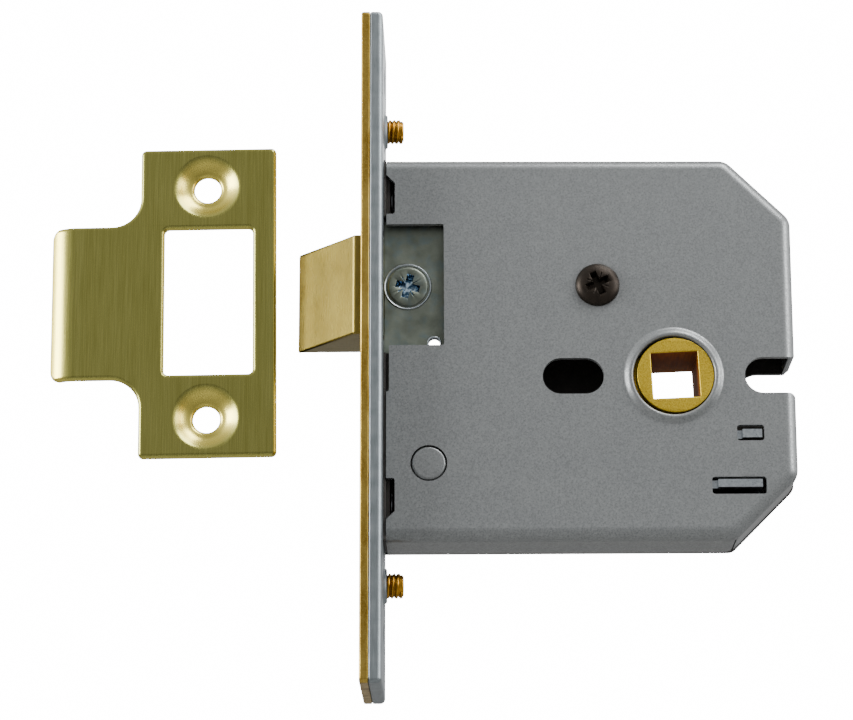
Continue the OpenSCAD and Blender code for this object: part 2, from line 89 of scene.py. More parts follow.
# how far it points up: 0 down, 1 up
tent_height = add(tent, "ShaderNodeSeparateXYZ", {0: tent_way}).outputs["Z"]
tent_level = add(tent, "ShaderNodeMapRange", {"Value": tent_height, "From Min": -1.0})
tent_rise = add(tent, "ShaderNodeValToRGB", {0: tent_level.outputs[0]})
WALL_GLOW = ((0.0, 0.45), (0.34, 0.9), (0.5, 2.4), (0.66, 2.2), (0.82, 0.95), (0.94, 0.42),
             (1.0, 0.36))
RISE_GLOW = ((0.0, 0.01), (0.33, 0.02), (0.58, 1.3), (0.72, 1.3), (0.88, 0.45), (1.0, 0.4))
for ramp, stops in ((tent_wall, WALL_GLOW), (tent_rise, RISE_GLOW)):
    ramp.color_ramp.interpolation = "EASE"
    for stop, glow in stops:
        mark = (ramp.color_ramp.elements.new(stop) if 0 < stop < 1
                else ramp.color_ramp.elements[-1 if stop else 0])
        mark.color = (glow, glow, glow, 1)
tent_glow = add(tent, "ShaderNodeBackground", {"Color": tent_wall.outputs[0],
                "Strength": tent_rise.outputs[0]})
# the camera sees plain white paper behind the lock
SEEN_WHITE = 16.0
tent_white = add(tent, "ShaderNodeBackground", {"Color": (1.0, 1.0, 1.0, 1.0),
                 "Strength": SEEN_WHITE})
tent_seen = add(tent, "ShaderNodeLightPath").outputs["Is Camera Ray"]
tent_mix = add(tent, "ShaderNodeMixShader", {0: tent_seen, 1: tent_glow.outputs[0],
               2: tent_white.outputs[0]})
add(tent, "ShaderNodeOutputWorld", {"Surface": tent_mix.outputs[0]})


def soft_box(name, place, aim, size, power):
    """A square light of size metres at place, turned to aim, of power watts."""
    light = bpy.data.lights.new(name, "AREA")
    light.shape = "SQUARE"
    light.size = size
    light.energy = power
    lamp = bpy.data.objects.new(name, light)
    lamp.location = place
    lamp.rotation_euler = (Vector(aim) - Vector(place)).to_track_quat("-Z", "Y").to_euler()
    bpy.context.collection.objects.link(lamp)


soft_box("key_box", (0.26, -0.24, 0.52), (0.02, 0, 0), 0.32, 4.2)
soft_box("right_box", (0.52, -0.24, 0.16), (0, 0, 0), 0.24, 1.8)
soft_box("left_box", (-0.55, -0.22, 0.10), (-0.02, 0, 0), 0.26, 4.2)
soft_box("back_box", (0.20, 0.60, 0.30), (0.02, 0, 0), 0.30, 0.7)

FLOOR_Z, FLOOR_HALF = -0.5, 3
floor_mesh = bpy.data.meshes.new("studio_floor")
floor_mesh.from_pydata([(u * FLOOR_HALF, v * FLOOR_HALF, FLOOR_Z)
                        for u, v in ((-1, -1), (1, -1), (1, 1), (-1, 1))], [], [(0, 1, 2, 3)])
studio_floor = bpy.data.objects.new("studio_floor", floor_mesh)
bpy.context.collection.objects.link(studio_floor)
paper = bpy.data.materials.new("matt_background_paper")
paper.use_nodes = True
paper_shader = paper.node_tree.nodes["Principled BSDF"]
paper_tone = add(paper.node_tree, "ShaderNodeTexNoise", {"Scale": 8.0, "Detail": 3.0})
paper_blend = add(paper.node_tree, "ShaderNodeMix", {0: paper_tone.outputs[0],
                  6: linear("#a2a2a1"), 7: linear("#acacab")}, data_type="RGBA")
feed(paper_shader, {"Base Color": paper_blend.outputs[2], "Roughness": 0.9})
floor_mesh.materials.append(paper)

# the camera stands a little below the lock and looks up at its face
camera_data = bpy.data.cameras.new("camera")
camera = bpy.data.objects.new("camera", camera_data)
bpy.context.collection.objects.link(camera)
CAMERA_MM, CAMERA_TURNS = (18.2, -495.7, -142.7), (("Z", 0.78), ("Y", 0.14), ("X", 15.93))
SENSOR, LENS = 36.0, 118.1711606
camera_turn = Matrix.Identity(3)
for axis, degrees in CAMERA_TURNS:
    camera_turn = camera_turn @ Matrix.Rotation(math.radians(degrees), 3, axis)
camera_axes = Matrix((camera_turn @ Vector((1, 0, 0)), camera_turn @ Vector((0, 0, 1)),
                      -(camera_turn @ Vector((0, 1, 0))))).transposed().to_4x4()
camera.matrix_world = Matrix.Translation(Vector(CAMERA_MM) * MM) @ camera_axes
camera_data.sensor_width = SENSOR
camera_data.lens = LENS
camera_data.clip_start = 0.01
bpy.context.scene.camera = camera

# ---------------------------------------------------------------------------
# Forend: the brass finishing plate lies on a thicker zinc plated steel plate.
# Both are blanked from strip, their edges tumbled round; the steel one is
# plunged and tapped where the machine screws go through.
# ---------------------------------------------------------------------------
FOREND_H, FOREND_W = 126.0, 25.0
OUTER_T, FOREND_T = 1.6, 4.0
HUB_X, HUB_Z = 57.0, -6.2
LATCH_Z = HUB_Z + 17.8
SPRING_Z = HUB_Z + 17.2
PLATE_SCREW_Z, WOOD_SCREW_Z, CASE_RIVET_Z = 43.5, 53.5, 29.3


def filleted(points, radii, steps=6):
    """The polygon with each corner rounded to its radius."""
    done = []
    count = len(points)
    for i, (x, y) in enumerate(points):
        r = radii[i] if isinstance(radii, (list, tuple)) else radii
        p, c, n = Vector(points[i - 1]), Vector((x, y)), Vector(points[(i + 1) % count])
        if r <= 0:
            done.append((x, y))
            continue
        a, b = (p - c).normalized(), (n - c).normalized()
        half = a.angle(b) / 2
        reach = r / math.tan(half)
        middle = c + (a + b).normalized() * (r / math.sin(half))
        start, end = c + a * reach - middle, c + b * reach - middle
        turn = start.angle_signed(end)
        for k in range(steps + 1):
            t = -turn * k / steps
            done.append((middle.x + start.x * math.cos(t) - start.y * math.sin(t),
                         middle.y + start.x * math.sin(t) + start.y * math.cos(t)))
    return done


def rectangle(u0, v0, u1, v1, r=0.0, steps=6):
    """A rectangle from corner to corner, its corners rounded to r."""
    return filleted([(u0, v0), (u1, v0), (u1, v1), (u0, v1)], r, steps)


def ring_of(u, v, r, count=48):
    """A circle of r about (u, v)."""
    return [(u + r * math.cos(2 * math.pi * k / count), v + r * math.sin(2 * math.pi * k / count))
            for k in range(count)]


def obround(u, v, reach, r):
    """A slot with round ends of r, their centres reach to each side of (u, v)."""
    return [(u + s * reach + r * math.cos(math.pi / 24 * k), v + r * math.sin(math.pi / 24 * k))
            for s, span in ((1, range(-12, 13)), (-1, range(12, 37))) for k in span]


def area_of(loop):
    """The area inside the loop, above zero where it runs anticlockwise."""
    return sum(a[0] * b[1] - b[0] * a[1] for a, b in zip(loop, loop[1:] + loop[:1])) / 2


def drawn_in(loop, d):
    """The loop moved to its left by d, with mitred corners."""
    moved = []
    for i, c in enumerate(loop):
        p, n = Vector(loop[i - 1]), Vector(loop[(i + 1) % len(loop)])
        a, b = (Vector(c) - p).normalized(), (n - Vector(c)).normalized()
        na, nb = Vector((-a.y, a.x)), Vector((-b.y, b.x))
        m = (na + nb) / max(0.3, 1 + na.dot(nb))
        moved.append((c[0] + m.x * d, c[1] + m.y * d))
    return moved


# where a flat outline (u, v) at depth w lies for a plate or a turned piece on each axis
PLACED = {"x": lambda u, v, w: (w, u, v), "y": lambda u, v, w: (u, w, v),
          "z": lambda u, v, w: (u, v, w)}


def plate_mesh(name, loops, w0, w1, round0=0.0, round1=0.0, axis="y", steps=4, wells=()):
    """A plate with holes between depths w0 and w1, its two rims rounded. A well is a round
    hole with its own wall: its centre and its (radius, depth) pairs. Sizes in mm."""
    facing = [loop if (area_of(loop) > 0) == (i == 0) else loop[::-1]
              for i, loop in enumerate(loops)]
    rings = []
    for r, w, sign in ((round0, w0, 1), (round1, w1, -1)):
        arc = [(0.0, w)] if r <= 0 else [
            (r * (1 - math.sin(math.pi / 2 * k / steps)),
             w + sign * r * (1 - math.cos(math.pi / 2 * k / steps))) for k in range(steps + 1)]
        rings += arc if sign > 0 else arc[::-1]
    points, faces, at = [], [], []
    for d, w in rings:
        row = []
        for loop in facing:
            row.append(len(points))
            points += [PLACED[axis](u, v, w) for u, v in (drawn_in(loop, d) if d else loop)]
        at.append(row)
    for lower, upper in zip(at, at[1:]):
        for i, loop in enumerate(facing):
            size = len(loop)
            for k in range(size):
                j = (k + 1) % size
                faces.append((lower[i] + k, lower[i] + j, upper[i] + j, upper[i] + k))
    walls = []
    for u0, v0, wall in wells:
        walls.append([])
        for r, w in wall:
            walls[-1].append(len(points))
            points += [PLACED[axis](u, v, w) for u, v in ring_of(u0, v0, r, 72)]
        for a, b in zip(walls[-1], walls[-1][1:]):
            faces += [(a + k, a + (k + 1) % 72, b + (k + 1) % 72, b + k) for k in range(72)]
    for end, d in ((0, rings[0][0]), (-1, rings[-1][0])):
        flat = [[Vector((u, v, 0)) for u, v in (drawn_in(loop, d) if d else loop)]
                for loop in facing]
        flat += [[Vector((u, v, 0)) for u, v in ring_of(u0, v0, wall[end][0], 72)]
                 for u0, v0, wall in wells]
        starts = at[end] + [wall[end] for wall in walls]
        index = [a + k for a, loop in zip(starts, flat) for k in range(len(loop))]
        faces += [tuple(index[k] for k in triangle) for triangle in tessellate_polygon(flat)]
    return closed_mesh(name, points, faces)


def closed_mesh(name, points, faces):
    """A mesh in metres from points in mm, merged, with its faces turned outward."""
    mesh = bpy.data.meshes.new(name)
    mesh.from_pydata([Vector(p) * MM for p in points], [], faces)
    work = bmesh.new()
    work.from_mesh(mesh)
    bmesh.ops.remove_doubles(work, verts=work.verts, dist=1e-7)
    bmesh.ops.dissolve_degenerate(work, edges=work.edges, dist=1e-7)
    bmesh.ops.recalc_face_normals(work, faces=work.faces)
    work.to_mesh(mesh)
    work.free()
    return mesh


def lathe_mesh(name, profile, place, axis="y", count=48):
    """A closed profile of (radius, depth) turned about the axis through place. Sizes in mm."""
    points, faces, rows = [], [], []
    for r, h in profile:
        ring = []
        for k in range(count if r > 1e-6 else 1):
            t = 2 * math.pi * k / count
            ring.append(len(points))
            points.append(Vector(PLACED[axis](r * math.cos(t), r * math.sin(t), h))
                          + Vector(place))
        rows.append(ring)
    pairs = list(zip(rows, rows[1:]))
    if profile[0][0] > 1e-6 or profile[-1][0] > 1e-6:
        pairs.append((rows[-1], rows[0]))
    for a, b in pairs:
        if len(a) == 1 and len(b) == 1:
            continue
        for k in range(count):
            j = (k + 1) % count
            face = [a[k % len(a)], a[j % len(a)], b[j % len(b)], b[k % len(b)]]
            face = [x for n, x in enumerate(face) if x not in face[:n]]
            if len(face) > 2:
                faces.append(tuple(face))
    return closed_mesh(name, points, faces)


def joined(name, *meshes):
    """One mesh that holds all of these shells."""
    work = bmesh.new()
    for mesh in meshes:
        work.from_mesh(mesh)
    whole = bpy.data.meshes.new(name)
    work.to_mesh(whole)
    work.free()
    return whole


def piece_of(name, mesh, material):
    """An object at the origin that wears the material."""
    thing = bpy.data.objects.new(name, mesh)
    bpy.context.collection.objects.link(thing)
    mesh.materials.clear()
    mesh.materials.append(material)
    return thing


def settled(thing):
    """Its modifiers turned into a plain mesh."""
    bpy.context.view_layer.update()
    graph = bpy.context.evaluated_depsgraph_get()
    mesh = bpy.data.meshes.new_from_object(thing.evaluated_get(graph), depsgraph=graph,
                                           preserve_all_data_layers=True)
    mesh.name = thing.name
    thing.modifiers.clear()
    thing.data = mesh
    return thing


def carved(thing, *cutters):
    """The piece with each cutter mesh taken out of it."""
    tools = []
    for mesh in cutters:
        tool = bpy.data.objects.new("cutter", mesh)
        bpy.context.collection.objects.link(tool)
        cut = thing.modifiers.new("cut", "BOOLEAN")
        cut.operation = "DIFFERENCE"
        cut.solver = "EXACT"
        cut.object = tool
        tools.append(tool)
    settled(thing)
    for tool in tools:
        bpy.data.objects.remove(tool)
    return thing


def eased(thing, width=0.0, segments=2, angle=40):
    """Edges broken by width mm, and normals that keep the flats flat."""
    for face in thing.data.polygons:
        face.use_smooth = True
    if width:
        ease = thing.modifiers.new("ease", "BEVEL")
        ease.width = width * MM
        ease.segments = segments
        ease.limit_method = "ANGLE"
        ease.angle_limit = math.radians(angle)
        ease.use_clamp_overlap = True
        ease.miter_outer = "MITER_ARC"
    flats = thing.modifiers.new("flats", "WEIGHTED_NORMAL")
    flats.weight = 90
    flats.keep_sharp = False
    return settled(thing)


def partly(thing, material, chosen):
    """Faces chosen by their centre, in mm, and their normal wear this material too."""
    thing.data.materials.append(material)
    for face in thing.data.polygons:
        if chosen(face.center / MM, face.normal):
            face.material_index = len(thing.data.materials) - 1


def shader_of(name):
    """A new material, its node tree, its shader and its object coordinates."""
    material = bpy.data.materials.new(name)
    material.use_nodes = True
    tree = material.node_tree
    return (material, tree, tree.nodes["Principled BSDF"],
            add(tree, "ShaderNodeTexCoord").outputs["Object"])


def toned(tree, place, scale, detail, tones, span=(0.0, 1.0), rough=0.5):
    """A soft noise, and a tone that follows it from dark to light across the span."""
    cloud = add(tree, "ShaderNodeTexNoise", {"Vector": place, "Scale": scale, "Detail": detail,
                "Roughness": rough}).outputs[0]
    step = add(tree, "ShaderNodeMapRange", {"Value": cloud, "From Min": span[0],
               "From Max": span[1]})
    tone = add(tree, "ShaderNodeMix", {0: step.outputs[0], 6: linear(tones[0]),
               7: linear(tones[1])}, data_type="RGBA")
    return cloud, tone.outputs[2]


def coated(shader, tone, metallic, worn, rough, span=(0.3, 0.7), rise=None, bump=0.0, deep=0.0):
    """The shader wears the tone; its gloss follows the worn noise and its relief the rise."""
    gloss = add(shader.id_data, "ShaderNodeMapRange", {"Value": worn, "From Min": span[0],
                "From Max": span[1], "To Min": rough[0], "To Max": rough[1]})
    feed(shader, {"Base Color": tone, "Roughness": gloss.outputs[0], "Metallic": metallic})
    if rise is not None:
        relief = add(shader.id_data, "ShaderNodeBump", {"Height": rise, "Strength": bump,
                     "Distance": deep})
        feed(shader, {"Normal": relief.outputs[0]})


# Lacquered brass strip, tumbled: the blanked edge is darker and browner where the
# lacquer has aged, in soft patches 3 to 10 mm long, over a fine 0.2 mm grain.
brass_strip, tree, shader, here = shader_of("lacquered_brass_strip")
patch_place = add(tree, "ShaderNodeMapping", {"Vector": here, "Scale": (1.0, 1.0, 0.45)})
patch, patch_tone = toned(tree, patch_place.outputs[0], 260.0, 4.0, ("#7c6122", "#b99d4e"),
                          (0.36, 0.66), 0.62)
grain = add(tree, "ShaderNodeTexNoise", {"Vector": here, "Scale": 4200.0, "Detail": 2.0})
grain_share = add(tree, "ShaderNodeMapRange", {"Value": grain.outputs[0], "From Min": 0.45,
                  "From Max": 0.8, "To Max": 0.35})
grain_tone = add(tree, "ShaderNodeMix", {0: grain_share.outputs[0], 6: patch_tone,
                 7: linear("#cdb468")}, data_type="RGBA")
# the outer face, the first 0.1 mm, is brushed along Z in lines of 0.2 mm and stays even
face_place = add(tree, "ShaderNodeMapping", {"Vector": here, "Scale": (1.0, 1.0, 0.03)})
face_tone = toned(tree, face_place.outputs[0], 4800.0, 4.0, ("#9c8142", "#c0a55a"))[1]
face_depth = add(tree, "ShaderNodeSeparateXYZ", {0: here}).outputs["X"]
edge_share = add(tree, "ShaderNodeMapRange", {"Value": face_depth, "From Min": 0.02 * MM,
                 "From Max": 0.12 * MM})
strip_tone = add(tree, "ShaderNodeMix", {0: edge_share.outputs[0], 6: face_tone,
                 7: grain_tone.outputs[2]}, data_type="RGBA")
coated(shader, strip_tone.outputs[2], 1.0, patch, (0.44, 0.28), (0.3, 0.7), grain.outputs[0],
       0.12, 0.04 * MM)

# Bright zinc on cold rolled steel, with a faint bluish cast and a rolled grain
# about 0.15 mm wide that runs along the strip.
zinc_strip, tree, shader, here = shader_of("bright_zinc_on_rolled_steel")
along = add(tree, "ShaderNodeMapping", {"Vector": here, "Scale": (1.0, 1.0, 0.04)})
rolled = add(tree, "ShaderNodeTexNoise", {"Vector": along.outputs[0], "Scale": 5200.0,
             "Detail": 3.0})
cloud_tone = toned(tree, here, 420.0, 3.0, ("#6b7275", "#949b9e"))[1]
coated(shader, cloud_tone, 0.92, rolled.outputs[0], (0.34, 0.48), (0.3, 0.7), rolled.outputs[0],
       0.1, 0.03 * MM)

LATCH_HALF, LATCH_SIDE, LATCH_GAP = 9.5, 6.4, 0.35
latch_hole = rectangle(-LATCH_SIDE - LATCH_GAP, LATCH_Z - LATCH_HALF - LATCH_GAP,
                       LATCH_SIDE + LATCH_GAP, LATCH_Z + LATCH_HALF + LATCH_GAP, 0.4, 3)
forend_edge = rectangle(-FOREND_W / 2, -FOREND_H / 2, FOREND_W / 2, FOREND_H / 2, 0.9, 6)


def csk_mesh(z, mouth, hole, x0, x1):
    """Cutter for a countersunk hole from the outer face."""
    return lathe_mesh("csk", [(0, x0 - 1), (mouth, x0 - 1), (mouth, x0), (hole, x1),
                              (hole, x1 + 1), (0, x1 + 1)], (0, 0, z), "x")


outer_forend = piece_of("brass_finishing_plate", plate_mesh(
    "brass_finishing_plate", [forend_edge, latch_hole], 0.0, OUTER_T, 0.4, 0.18, "x"), brass_strip)
carved(outer_forend, *[csk_mesh(s * WOOD_SCREW_Z, 4.6, 2.4, 0, OUTER_T) for s in (-1, 1)],
       *[csk_mesh(s * PLATE_SCREW_Z, 4.15, 2.4, 0.3, OUTER_T - 0.1) for s in (-1, 1)])
eased(outer_forend, 0.12, 2, 50)
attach(outer_forend, "lock_case")
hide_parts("outer_forend")

inner_holes = [latch_hole] + [ring_of(0, s * z, r) for z, r in (
    (WOOD_SCREW_Z, 2.4), (PLATE_SCREW_Z, 2.4), (CASE_RIVET_Z, 1.95)) for s in (-1, 1)]
collars = [lathe_mesh("collar", [(2.4, FOREND_T - 0.4), (4.3, FOREND_T - 0.4), (4.1, FOREND_T),
                                 (3.5, FOREND_T + 0.12), (3.15, FOREND_T + 0.38),
                                 (3.0, FOREND_T + 0.6), (2.4, FOREND_T + 0.6)],
                      (0, 0, s * PLATE_SCREW_Z), "x") for s in (-1, 1)]
inner_forend = piece_of("steel_forend", joined("steel_forend", plate_mesh(
    "steel_forend", [forend_edge] + inner_holes, OUTER_T + 0.02, FOREND_T, 0.4, 0.9, "x", 6),
    *collars), zinc_strip)
eased(inner_forend)
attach(inner_forend, "lock_case")
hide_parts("inner_forend")

# ---------------------------------------------------------------------------
# Forend screws and rivets: two turned brass countersunk machine screws hold the
# brass plate, their rolled threads showing behind the forend; two steel rivets
# fix the case to it.
# ---------------------------------------------------------------------------
def mottled(name, scale, detail, tones, rough, metallic, span=(0.0, 1.0)):
    """A material whose tone and roughness follow one soft noise, the tone across the span."""
    material, tree, shader, here = shader_of(name)
    cloud, tone = toned(tree, here, scale, detail, tones, span)
    coated(shader, tone, metallic, cloud, rough, (0.0, 1.0))
    return material


# Turned brass, darkened by oil in patches of 0.7 mm, as in the threads.
turned_brass = mottled("turned_screw_brass", 1400.0, 3.0, ("#7c5410", "#d09a38"),
                       (0.42, 0.26), 1.0)

# Bright drawn steel for rivets, rod and springs: zinc plated, slightly blue.
drawn_steel = mottled("zinc_plated_drawn_steel", 2600.0, 2.0, ("#8d959b", "#c6ccd0"),
                      (0.22, 0.4), 1.0)


def new_tree(name, *sizes):
    """A geometry node tree with a geometry input, named sizes and a material."""
    made = bpy.data.node_groups.new(name, "GeometryNodeTree")
    made.interface.new_socket("Geometry", in_out="INPUT", socket_type="NodeSocketGeometry")
    for label in sizes:
        kind = "NodeSocketInt" if label in ("Count", "Turns") else "NodeSocketFloat"
        made.interface.new_socket(label, in_out="INPUT", socket_type=kind)
    made.interface.new_socket("Material", in_out="INPUT", socket_type="NodeSocketMaterial")
    made.interface.new_socket("Geometry", in_out="OUTPUT", socket_type="NodeSocketGeometry")
    return made, add(made, "NodeGroupInput").outputs


def close_tree(tree, geometry, material):
    """Ends the tree in real geometry that wears the material."""
    real = add(tree, "GeometryNodeRealizeInstances", {0: geometry})
    worn = add(tree, "GeometryNodeSetMaterial", {"Geometry": real.outputs[0],
               "Material": material})
    add(tree, "NodeGroupOutput", {0: worn.outputs[0]})


def grown(thing, tree, **values):
    """The piece with the tree's result as its plain mesh."""
    made = thing.modifiers.new(tree.name, "NODES")
    made.node_group = tree
    for item in tree.interface.items_tree:
        if item.in_out == "INPUT" and item.name in values:
            made[item.identifier] = values[item.name]
    return settled(thing)


# repeats a fastener along the forend: Count copies, Spacing apart, about the middle
row_tree, row_in = new_tree("fastener_row", "Count", "Spacing")
row_gaps = add(row_tree, "ShaderNodeMath", {0: row_in["Count"], 1: -1.0}, operation="ADD")
row_half = add(row_tree, "ShaderNodeMath", {0: row_gaps.outputs[0], 1: row_in["Spacing"]},
               operation="MULTIPLY")
row_low = add(row_tree, "ShaderNodeMath", {0: row_half.outputs[0], 1: -0.5}, operation="MULTIPLY")
row_start = add(row_tree, "ShaderNodeCombineXYZ", {"Z": row_low.outputs[0]})
row_step = add(row_tree, "ShaderNodeCombineXYZ", {"Z": row_in["Spacing"]})
row_line = add(row_tree, "GeometryNodeMeshLine", {"Count": row_in["Count"],
               "Start Location": row_start.outputs[0], "Offset": row_step.outputs[0]},
               mode="OFFSET")
row_copies = add(row_tree, "GeometryNodeInstanceOnPoints", {"Points": row_line.outputs[0],
                 "Instance": row_in["Geometry"]})
close_tree(row_tree, row_copies.outputs[0], row_in["Material"])

def helix(tree, steps, turns, radius, length, sides, wire, start=(0.0, 0.0, 0.0)):
    """A wire of so many sides wound about X from the start, in so many steps to a turn."""
    path = add(tree, "GeometryNodeCurveSpiral", {"Resolution": steps, "Rotations": turns,
               "Start Radius": radius, "End Radius": radius, "Height": length})
    cross = add(tree, "GeometryNodeCurvePrimitiveCircle", {"Resolution": sides, "Radius": wire})
    skin = add(tree, "GeometryNodeCurveToMesh", {"Curve": path.outputs[0],
               "Profile Curve": cross.outputs[0], "Fill Caps": True})
    return add(tree, "GeometryNodeTransform", {"Geometry": skin.outputs[0], "Translation": start,
               "Rotation": Euler((0, math.pi / 2, 0))}).outputs[0]


# a rolled thread: a ridge of four sides that climbs along X from Start
thread_tree, thread_in = new_tree("rolled_thread", "Radius", "Pitch", "Length", "Start", "Depth")
thread_turns = add(thread_tree, "ShaderNodeMath", {0: thread_in["Length"],
                   1: thread_in["Pitch"]}, operation="DIVIDE")
thread_root = add(thread_tree, "ShaderNodeMath", {0: thread_in["Radius"],
                  1: thread_in["Depth"]}, operation="SUBTRACT")
thread_place = add(thread_tree, "ShaderNodeCombineXYZ", {"X": thread_in["Start"]})
thread_laid = helix(thread_tree, 40, thread_turns.outputs[0], thread_root.outputs[0],
                    thread_in["Length"], 4, thread_in["Depth"], thread_place.outputs[0])
thread_all = add(thread_tree, "GeometryNodeJoinGeometry", {0: thread_laid})
feed(thread_all, {0: thread_in["Geometry"]})
close_tree(thread_tree, thread_all.outputs[0], thread_in["Material"])

screw_blank = lathe_mesh("plate_screws", [(0, 0.05), (3.9, 0.05), (4.08, 0.15), (4.08, 0.32),
                         (2.3, OUTER_T - 0.1), (1.98, OUTER_T + 0.2), (1.98, 7.35), (1.7, 7.6),
                         (0, 7.65)], (0, 0, 0), "x", 40)
plate_screws = piece_of("plate_screws", screw_blank, turned_brass)
carved(plate_screws, plate_mesh("slot", [rectangle(-0.55, -6, 0.55, 6)], -1, 0.85, 0, 0.1, "x"))
grown(plate_screws, thread_tree, Radius=2.35 * MM, Pitch=0.8 * MM, Length=4.9 * MM,
      Start=2.3 * MM, Depth=0.38 * MM, Material=turned_brass)
grown(plate_screws, row_tree, Count=2, Spacing=2 * PLATE_SCREW_Z * MM, Material=turned_brass)
eased(plate_screws)
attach(plate_screws, "lock_case")
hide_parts("plate_screw_upper", "plate_screw_lower")

rivet_x = FOREND_T + 0.05 + 1.2
case_rivets = piece_of("forend_rivets", lathe_mesh("forend_rivets", [
    (0, OUTER_T + 0.05), (1.9, OUTER_T + 0.05), (1.9, rivet_x + 0.05), (2.9, rivet_x + 0.05),
    (3.0, rivet_x + 0.2), (2.8, rivet_x + 0.55), (2.1, rivet_x + 0.9), (1.2, rivet_x + 1.02),
    (0, rivet_x + 1.05)], (0, 0, 0), "x", 32), drawn_steel)
grown(case_rivets, row_tree, Count=2, Spacing=2 * CASE_RIVET_Z * MM, Material=drawn_steel)
eased(case_rivets)
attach(case_rivets, "lock_case")
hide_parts("forend_rivet_upper", "forend_rivet_lower")

# ---------------------------------------------------------------------------
# Case: a pressed steel tray whose face turns into top, rear and bottom flanges,
# closed by a flat back sheet with a front flange. Both are stove painted in a
# fine metallic grey, with seams where the flanges meet at the cut corners.
# ---------------------------------------------------------------------------
CASE_LEFT, CASE_D = 4.55, 79.0
CASE_TOP, CASE_BOTTOM, TOP_RISE = 35.5, -36.5, 0.45
CASE_FRONT, CASE_BACK, SHEET = -6.5, 6.5, 1.2
CHAMFER = 11.6
NOTCH_R = 3.35
NOTCH_X = HUB_X + 12.6 + NOTCH_R
RIM_X, RIM_Z, RIM_R = HUB_X - 0.3, HUB_Z - 0.05, 7.35
RIM_FOOT, RIM_LIP, RIM_HIGH, RIM_HOLE = 1.9, 0.45, 0.68, 9.1
WINDOW_X, WINDOW_LOW, WINDOW_TOP = 15.1, -0.2, 23.0
CASE_SCREW_X, CASE_SCREW_HOLE = 43.2, 2.05
SPACER_X, SPACER_Z = 12.25, -22.3


def case_outline(inset, left, corner):
    """The side view of the case, drawn in by the inset, from left to its rear edge."""
    cut = CHAMFER - inset * (2 - math.sqrt(2))
    right, top, bottom = CASE_D - inset, CASE_TOP - inset, CASE_BOTTOM + inset
    return filleted([(left, bottom), (right - cut - 0.3, bottom), (right - 0.3, bottom + cut),
                     (right, top - cut), (right - cut, top), (left, top + TOP_RISE)],
                    [0, corner, corner, corner, corner, 0], 10)


# Stoved aluminium flake paint: grey, with flakes of about 0.3 mm, soft clouds of
# 4 mm where the coat is thicker, and an orange peel of 0.6 mm in the gloss.
grey_paint, tree, shader, here = shader_of("stoved_aluminium_flake_paint")
flake, flake_tone = toned(tree, here, 3300.0, 2.0, ("#6c6e6e", "#8b8e8e"), (0.3, 0.72), 0.7)
thick_tone = toned(tree, here, 240.0, 2.0, ("#f0f0f2", "#ffffff"))[1]
paint_tone = add(tree, "ShaderNodeMix", {0: 1.0, 6: flake_tone, 7: thick_tone},
                 data_type="RGBA", blend_type="MULTIPLY")
peel = add(tree, "ShaderNodeTexNoise", {"Vector": here, "Scale": 1500.0, "Detail": 1.0})
coated(shader, paint_tone.outputs[2], 0.5, flake, (0.42, 0.28), (0.3, 0.7), peel.outputs[0],
       0.25, 0.05 * MM)

# Painted shade: a near-black steel tone on the case's inside faces and on the back's front flange,
# which lie in shade.
painted_shade_steel = mottled("steel_in_painted_shade", 500.0, 3.0, ("#262321", "#46423e"), (0.55, 0.55), 0.6)


def seam_mesh(x, z, turn):
    """Cutter for the seam between two flanges."""
    box = plate_mesh("seam", [rectangle(-0.16, -2.6, 0.16, 2.6)], CASE_FRONT + 2.6, CASE_BACK + 1)
    box.transform(Matrix.Translation((x * MM, 0, z * MM))
                  @ Matrix.Rotation(math.radians(turn), 4, "Y"))
    return box


rivet_notch = filleted([(0, 25.05), (6.1, 25.05), (6.1, 31.1), (4.2, 33.0), (0, 33.0)],
                       [0, 0.4, 0.3, 0.2, 0], 3)
rear_notch = filleted([(82, HUB_Z - NOTCH_R - 2.2), (79.6, HUB_Z - NOTCH_R - 1.2),
                       (78.1, HUB_Z - NOTCH_R), (NOTCH_X - NOTCH_R, HUB_Z - NOTCH_R),
                       (NOTCH_X - NOTCH_R, HUB_Z + NOTCH_R), (78.1, HUB_Z + NOTCH_R),
                       (79.6, HUB_Z + NOTCH_R + 1.2), (82, HUB_Z + NOTCH_R + 2.2)],
                      [0, 0.5, 1.2, 3.34, 3.34, 1.2, 0.5, 0], 10)
# the window with the notch below it, the rivet notches, the bolt slot, the two slots of
# the folded stop and the three round holes
face_holes = [
    filleted([(-2, -8.9), (5.05, -8.9), (5.05, WINDOW_LOW), (WINDOW_X, WINDOW_LOW),
              (WINDOW_X, WINDOW_TOP), (-2, WINDOW_TOP)], [0, 0.3, 0.2, 0.3, 0.3, 0], 3),
    rivet_notch, [(x, -z) for x, z in rivet_notch],
    obround(HUB_X - 18.5, HUB_Z, 2.2, NOTCH_R),
    rectangle(67.8, -18.45, 72.7, -15.56, 0.5, 4), rectangle(63.05, -28.3, 72.8, -25.15, 0.5, 4),
    ring_of(RIM_X, RIM_Z, RIM_HOLE, 72), ring_of(SPACER_X, SPACER_Z, 3.32, 48),
    ring_of(CASE_SCREW_X, SPRING_Z, CASE_SCREW_HOLE, 32)]
face_cut = joined("face_cut", *[
    plate_mesh("hole", [loop], CASE_FRONT - 1, CASE_FRONT + SHEET + 0.5) for loop in face_holes])

